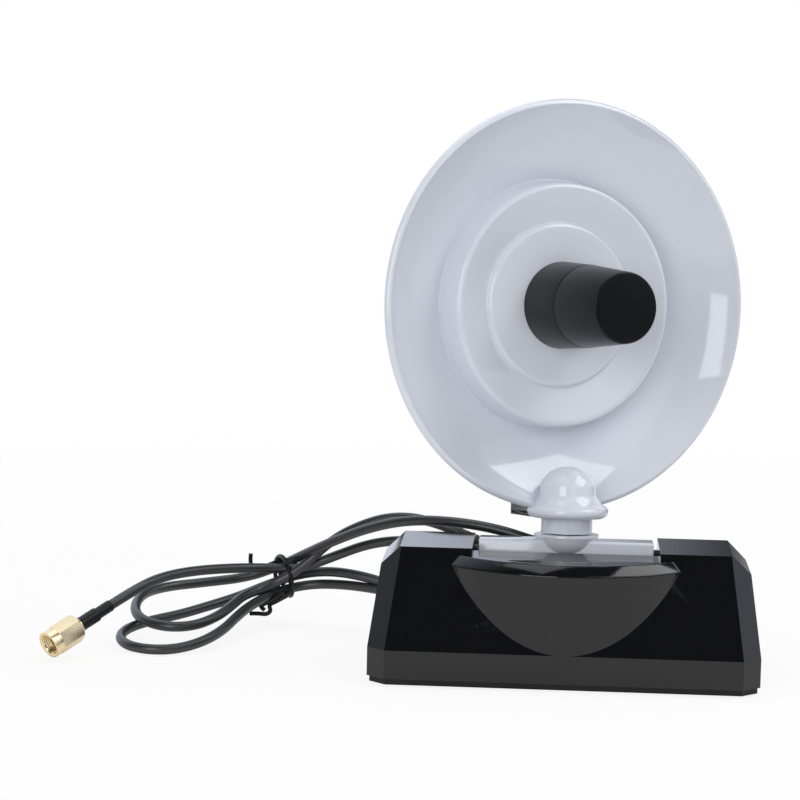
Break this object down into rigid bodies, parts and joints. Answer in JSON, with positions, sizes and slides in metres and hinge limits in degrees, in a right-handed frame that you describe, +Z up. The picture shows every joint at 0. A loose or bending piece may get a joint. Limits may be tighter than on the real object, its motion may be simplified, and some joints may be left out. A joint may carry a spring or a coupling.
{
  "type": "directional wifi antenna",
  "caption": "Desk-top directional wifi antenna: stepped dish with a feed horn on a swivelling, tilting neck, a sloped weighted base and a coaxial lead with a screw plug.",
  "frame": {"origin": "on the desk, under the middle of the base", "axes": "+Z up from the desk, the base's front looks along -Y"},
  "size_m": [0.219, 0.105, 0.1746],
  "materials": {
    "white_gloss": "glossy moulded",
    "black_gloss": "glossy moulded",
    "black_satin": "satin moulded",
    "cable_jacket": "matt extruded",
    "foam_rubber": "matt sheet",
    "steel": "plain",
    "iron": "plain",
    "gold_brass": "plated, polished",
    "fluoropolymer": "plain"
  },
  "bodies": {
    "base": {"base_housing": "black_gloss", "bottom_cover": "black_satin", "bottom_screws": "steel", "base_pad": "foam_rubber", "ballast_plate": "iron", "cable_gland": "black_satin", "base_lead": "cable_jacket", "cord_exit_run": "cable_jacket", "cord_front_loops": "cable_jacket", "cord_rear_loops": "cable_jacket", "cord_plug_run": "cable_jacket", "cord_tie": "black_satin", "plug_sleeve": "black_satin", "plug_body": "gold_brass", "plug_insulator": "fluoropolymer", "plug_contact": "gold_brass"},
    "cradle": {"tilt_bar": "white_gloss", "axle_pins": "steel", "spring_washer": "steel"},
    "head": {"yoke_front": "white_gloss", "yoke_rear": "black_gloss", "yoke_screws": "steel", "arm_screws": "steel", "swivel_tube": "steel", "retaining_ring": "steel", "reflector_dish": "white_gloss", "rear_cover": "white_gloss", "rear_cover_screws": "steel", "feed_base": "black_satin", "feed_radome": "black_satin", "feed_stem": "gold_brass", "driven_disc": "gold_brass", "sub_reflector": "gold_brass", "feed_nut": "steel", "feed_lead": "cable_jacket"},
    "nut": {"plug_nut": "gold_brass"}
  },
  "joints": [
    {"name": "tilt", "type": "hinge", "parent": "base", "child": "cradle", "pos_m": [0, 0, 0.035], "axis": [1, 0, 0], "range_deg": [-8.3, 15.7]},
    {"name": "swivel", "type": "hinge", "parent": "cradle", "child": "head", "pos_m": [0, 0, 0.035], "axis": [0, 0.0645, 0.9979], "range_deg": [-120.3, 59.7]},
    {"name": "nut_spin", "type": "hinge", "parent": "base", "child": "nut", "pos_m": [-0.15001, -0.00549, 0.00924], "axis": [-0.6305, -0.6766, -0.3803], "continuous": true}
  ]
}
